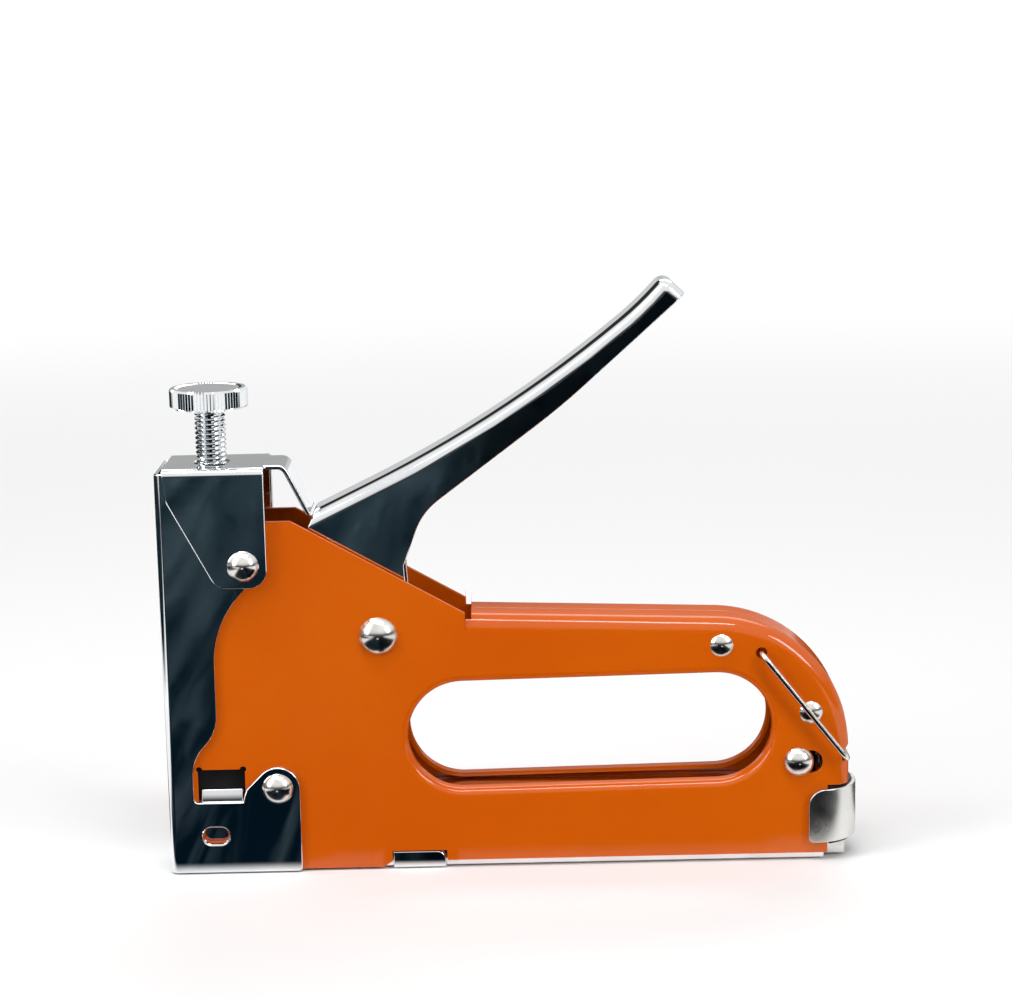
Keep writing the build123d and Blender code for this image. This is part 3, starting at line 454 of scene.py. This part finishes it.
def woundCoil(nodeName, look):
    low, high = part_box(nodeName)
    along = look["axis"]
    side = (along + 1) % 3
    wire = look["wire"]
    radius = (high[side] - low[side]) / 2 - wire
    direction = axisVector(along)
    outward = axisVector(side)
    start = (low + high) / 2
    start[along] = low[along] + wire
    length = high[along] - low[along] - 2 * wire
    steps = look["turns"] * wireSet["steps"]
    bm = bmesh.new()
    turn = Matrix((outward, direction, direction.cross(outward))).transposed().to_4x4()
    place = Matrix.Translation(start + outward * radius) @ turn
    circle = bmesh.ops.create_circle(bm, segments=wireSet["sides"], radius=wire, cap_ends=True,
                                     matrix=place)["verts"]
    spun = bmesh.ops.spin(bm, geom=circle + edgesAt(circle), cent=start, axis=direction,
                          angle=2 * math.pi * look["turns"], steps=steps,
                          dvec=direction * (length / steps))
    last = [part for part in spun["geom_last"] if isinstance(part, bmesh.types.BMEdge)]
    bmesh.ops.holes_fill(bm, edges=last, sides=0)
    bmesh.ops.recalc_face_normals(bm, faces=bm.faces)
    for face in bm.faces:
        face.smooth = True
    piece = putPiece(look["name"], bm, nodeName)
    anchor = (low + high) / 2
    anchor[along] = high[along]
    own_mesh(piece)


for nodeName, look in coilSet.items():
    woundCoil(nodeName, look)
print("springs wound:", len(coilSet))


# floor: pale under the part, running into white
floorSet = {
    "radius": 5.0, "sides": 96, "height": -0.0003,
    "tone": 0.84, "rough": 0.9, "shine": 0.1, "fade": (0.15, 1.0),
}


def paleFloor():
    made, tree, shader = freshMaterial("paleFloor")
    shader.inputs["Base Color"].default_value = (floorSet["tone"],) * 3 + (1,)
    shader.inputs["Roughness"].default_value = floorSet["rough"]
    shader.inputs["Specular IOR Level"].default_value = floorSet["shine"]
    coords = addNode(tree, "ShaderNodeTexCoord")
    reach = addNode(tree, "ShaderNodeVectorMath", operation="LENGTH")
    tree.links.new(coords.outputs["Object"], reach.inputs[0])
    fade = fadeIn(tree, reach.outputs["Value"], *floorSet["fade"])
    seen = addNode(tree, "ShaderNodeLightPath")
    direct = combine(tree, "MAXIMUM", seen.outputs["Is Camera Ray"], seen.outputs["Is Glossy Ray"])
    white = addNode(tree, "ShaderNodeEmission")
    share = combine(tree, "MULTIPLY", fade, direct)
    shown = blendOf(tree, share, shader.outputs["BSDF"], white.outputs["Emission"])
    tree.links.new(shown, tree.nodes["Material Output"].inputs["Surface"])
    bm = bmesh.new()
    bmesh.ops.create_circle(bm, segments=floorSet["sides"], radius=floorSet["radius"], cap_ends=True,
                            matrix=Matrix.Translation((0, 0, floorSet["height"])))
    floor = meshObject("paleFloor", bm, made)


# card that only mirrors see, a glowing sheet that paints reflections into the metal: clear close to the
# part, dark farther out, as a camera's side of a room is
# pairs are where a soft edge begins and ends
cardSet = {
    "reach": 4.8, "height": -0.0001,
    "noseStart": 0.012, "gripStart": 0.017, "clipStart": 0.021, "startEdge": (0.7, 1.3),
    "noseTurn": (-0.046, -0.036), "clipTurn": (0.050, 0.058),
    "half": 0.11, "opens": 0.35, "sideEdge": (0.9, 1.1), "end": (0.75, 0.95),
    "left": (0.20, 0.27), "leftEnd": (0.30, 0.45),
    "lugMiddle": -0.020, "lugSide": (0.0075, 0.0085),
    "lugStart": (0.0085, 0.0125), "lugEnd": (0.023, 0.027),
    "near": (0.0008, 0.0065, 0.0125), "far": (0.011, 0.024, 0.033), "toneSpan": (0.06, 0.50),
    "streak": (0.040, 0.054, 0.061), "streakSpan": (0.46, 0.72),
    "streakStretch": (85, 5, 1), "streakDetail": 3.0, "streakTwist": 1.2,
    "dimEdge": (-0.050, 0.005), "dimBy": 0.85,
}


def mirrorCard():
    made, tree, shader = freshMaterial("mirrorCard")
    tree.nodes.remove(shader)
    coords = addNode(tree, "ShaderNodeTexCoord")
    split = addNode(tree, "ShaderNodeSeparateXYZ")
    tree.links.new(coords.outputs["Object"], split.inputs["Vector"])
    along = split.outputs["X"]
    depth = split.outputs["Y"]
    away = combine(tree, "ABSOLUTE", depth)
    aside = combine(tree, "ABSOLUTE", along)
    # where it begins: closest at the nose, a little farther off along the grip and at the clip
    gripStep = cardSet["gripStart"] - cardSet["noseStart"]
    clipStep = cardSet["clipStart"] - cardSet["gripStart"]
    toGrip = combine(tree, "MULTIPLY", fadeIn(tree, along, *cardSet["noseTurn"]), gripStep)
    toClip = combine(tree, "MULTIPLY", fadeIn(tree, along, *cardSet["clipTurn"]), clipStep)
    start = combine(tree, "ADD", toGrip, toClip, cardSet["noseStart"])
    ahead = fadeIn(tree, combine(tree, "DIVIDE", away, start), *cardSet["startEdge"])
    # how wide it is: a strip that opens out with distance, and stops earlier behind the part
    opening = combine(tree, "MULTIPLY", away, cardSet["opens"])
    width = combine(tree, "ADD", opening, cardSet["half"])
    strip = fadeOut(tree, combine(tree, "DIVIDE", aside, width), *cardSet["sideEdge"])
    front = combine(tree, "MULTIPLY", ahead, strip, fadeOut(tree, depth, *cardSet["end"]))
    # a patch far to the left, and a small one for the lug at the bottom edge: painted dark reflections
    # on those parts
    leftward = fadeIn(tree, combine(tree, "MULTIPLY", along, -1.0), *cardSet["left"])
    beside = combine(tree, "MULTIPLY", leftward, fadeOut(tree, away, *cardSet["leftEnd"]))
    fromLug = combine(tree, "ABSOLUTE", combine(tree, "SUBTRACT", along, cardSet["lugMiddle"]))
    lugStart = fadeIn(tree, away, *cardSet["lugStart"])
    lugDepth = combine(tree, "SUBTRACT", lugStart, fadeIn(tree, away, *cardSet["lugEnd"]))
    lug = combine(tree, "MULTIPLY", fadeOut(tree, fromLug, *cardSet["lugSide"]), lugDepth)
    mask = combine(tree, "MAXIMUM", front, beside, lug)
    # its tone, the painted reflection: dark slate with paler streaks of painted reflected light, dimmer
    # towards the grip to paint darker reflections there
    streak = noiseOn(tree, coords, 1.0, cardSet["streakDetail"], cardSet["streakTwist"],
                     cardSet["streakStretch"])
    tone = addNode(tree, "ShaderNodeMix", data_type="RGBA", blend_type="ADD")
    tone.inputs["Factor"].default_value = 1.0
    mixTo(tree, away, tone.inputs["A"], cardSet["near"], cardSet["far"], cardSet["toneSpan"])
    mixTo(tree, streak, tone.inputs["B"], (0, 0, 0), cardSet["streak"], cardSet["streakSpan"])
    dim = combine(tree, "MULTIPLY", fadeIn(tree, along, *cardSet["dimEdge"]), cardSet["dimBy"])
    glow = addNode(tree, "ShaderNodeEmission")
    tree.links.new(tone.outputs["Result"], glow.inputs["Color"])
    tree.links.new(combine(tree, "SUBTRACT", 1.0, dim), glow.inputs["Strength"])
    clear = addNode(tree, "ShaderNodeBsdfTransparent")
    shown = blendOf(tree, mask, clear.outputs["BSDF"], glow.outputs["Emission"])
    tree.links.new(shown, tree.nodes["Material Output"].inputs["Surface"])
    bm = bmesh.new()
    bmesh.ops.create_grid(bm, x_segments=1, y_segments=1, size=cardSet["reach"],
                          matrix=Matrix.Translation((0, 0, cardSet["height"])))
    card = meshObject("mirrorCard", bm, made)
    card.visible_camera = False
    card.visible_diffuse = False
    card.visible_shadow = False
    card.visible_transmission = False


paleFloor()
mirrorCard()
print("stage laid")


# light: soft boxes overhead, at both sides and behind
lightSet = {
    "topSoftbox": {
        "place": (-0.10, -0.25, 0.95), "aim": (0, 0, 0.04), "size": (0.9, 0.13), "power": 5.6,
    },
    "leftSoftbox": {
        "place": (-0.85, -0.45, 0.55), "aim": (0, 0, 0.05), "size": (0.4, 0.8), "power": 4.2,
    },
    "rightSoftbox": {
        "place": (0.80, -0.60, 0.60), "aim": (0, 0, 0.04), "size": (0.22, 0.5), "power": 3.9,
    },
    "backSoftbox": {
        "place": (0.15, 0.75, 0.80), "aim": (0, 0, 0.05), "size": (0.8, 0.4), "power": 3.4,
    },
}
for name, look in lightSet.items():
    lamp = bpy.data.lights.new(name, "AREA")
    lamp.shape = "RECTANGLE"
    lamp.size, lamp.size_y = look["size"]
    lamp.energy = look["power"]
    lampObject = bpy.data.objects.new(name, lamp)
    scene.collection.objects.link(lampObject)
    aim = Vector(look["aim"]) - Vector(look["place"])
    lampObject.rotation_mode = "QUATERNION"
    lampObject.location = look["place"]
    lampObject.rotation_quaternion = aim.to_track_quat("-Z", "Y")


# surroundings: white for the camera and even fill for the colours; the mirrors see a bright ceiling,
# a dark front and a dark flag at the back left
# ramps are height and tone, pairs are where a soft edge begins and ends
roomSet = {
    "fill": 0.30, "turn": (-0.30, 0.20),
    "behind": [(0.0, 0.66), (0.09, 0.62), (0.15, 0.42), (0.24, 0.42), (0.34, 0.95), (1.0, 0.95)],
    "before": [(0.0, 0.05), (0.16, 0.06), (0.27, 0.80), (0.50, 0.95), (1.0, 0.95)],
    "flagSide": (0.14, 0.24), "flagLow": (0.15, 0.22), "flagHigh": (0.70, 0.84),
    "flagBack": (0.05, 0.25), "flagDepth": 0.97,
}


def heightRamp(tree, height, stops):
    ramp = addNode(tree, "ShaderNodeValToRGB")
    marks = ramp.color_ramp.elements
    while len(marks) < len(stops):
        marks.new(0.5)  # placed below
    for mark, (place, tone) in zip(marks, stops):
        mark.position = place
        mark.color = (tone, tone, tone, 1)
    tree.links.new(height, ramp.inputs["Fac"])
    return ramp.outputs["Color"]


def evenBackground(tree, strength):
    made = addNode(tree, "ShaderNodeBackground")
    made.inputs["Color"].default_value = (1, 1, 1, 1)
    made.inputs["Strength"].default_value = strength
    return made.outputs["Background"]


def softRoom():
    world = bpy.data.worlds.new("softRoom")
    scene.world = world
    world.use_nodes = True
    tree = world.node_tree
    tree.nodes.clear()
    coords = addNode(tree, "ShaderNodeTexCoord")
    split = addNode(tree, "ShaderNodeSeparateXYZ")
    tree.links.new(coords.outputs["Generated"], split.inputs["Vector"])
    along = split.outputs["X"]
    depth = split.outputs["Y"]
    height = split.outputs["Z"]
    around = addNode(tree, "ShaderNodeMix", data_type="RGBA")
    tree.links.new(fadeIn(tree, depth, *roomSet["turn"]), around.inputs["Factor"])
    tree.links.new(heightRamp(tree, height, roomSet["before"]), around.inputs["A"])
    tree.links.new(heightRamp(tree, height, roomSet["behind"]), around.inputs["B"])
    flagSide = fadeIn(tree, combine(tree, "MULTIPLY", along, -1.0), *roomSet["flagSide"])
    flagLow = fadeIn(tree, height, *roomSet["flagLow"])
    flagHigh = fadeOut(tree, height, *roomSet["flagHigh"])
    flagBack = fadeIn(tree, depth, *roomSet["flagBack"])
    flag = combine(tree, "MULTIPLY", flagSide, flagLow, flagHigh, flagBack, roomSet["flagDepth"])
    room = addNode(tree, "ShaderNodeBackground")
    tree.links.new(around.outputs["Result"], room.inputs["Color"])
    tree.links.new(combine(tree, "SUBTRACT", 1.0, flag), room.inputs["Strength"])
    seen = addNode(tree, "ShaderNodeLightPath")
    mirrored = combine(tree, "MAXIMUM", seen.outputs["Is Glossy Ray"],
                       seen.outputs["Is Transmission Ray"])
    unseen = blendOf(tree, mirrored, evenBackground(tree, roomSet["fill"]), room.outputs["Background"])
    shown = blendOf(tree, seen.outputs["Is Camera Ray"], unseen, evenBackground(tree, 1.0))
    output = addNode(tree, "ShaderNodeOutputWorld")
    tree.links.new(shown, output.inputs["Surface"])


softRoom()
print("lights set")
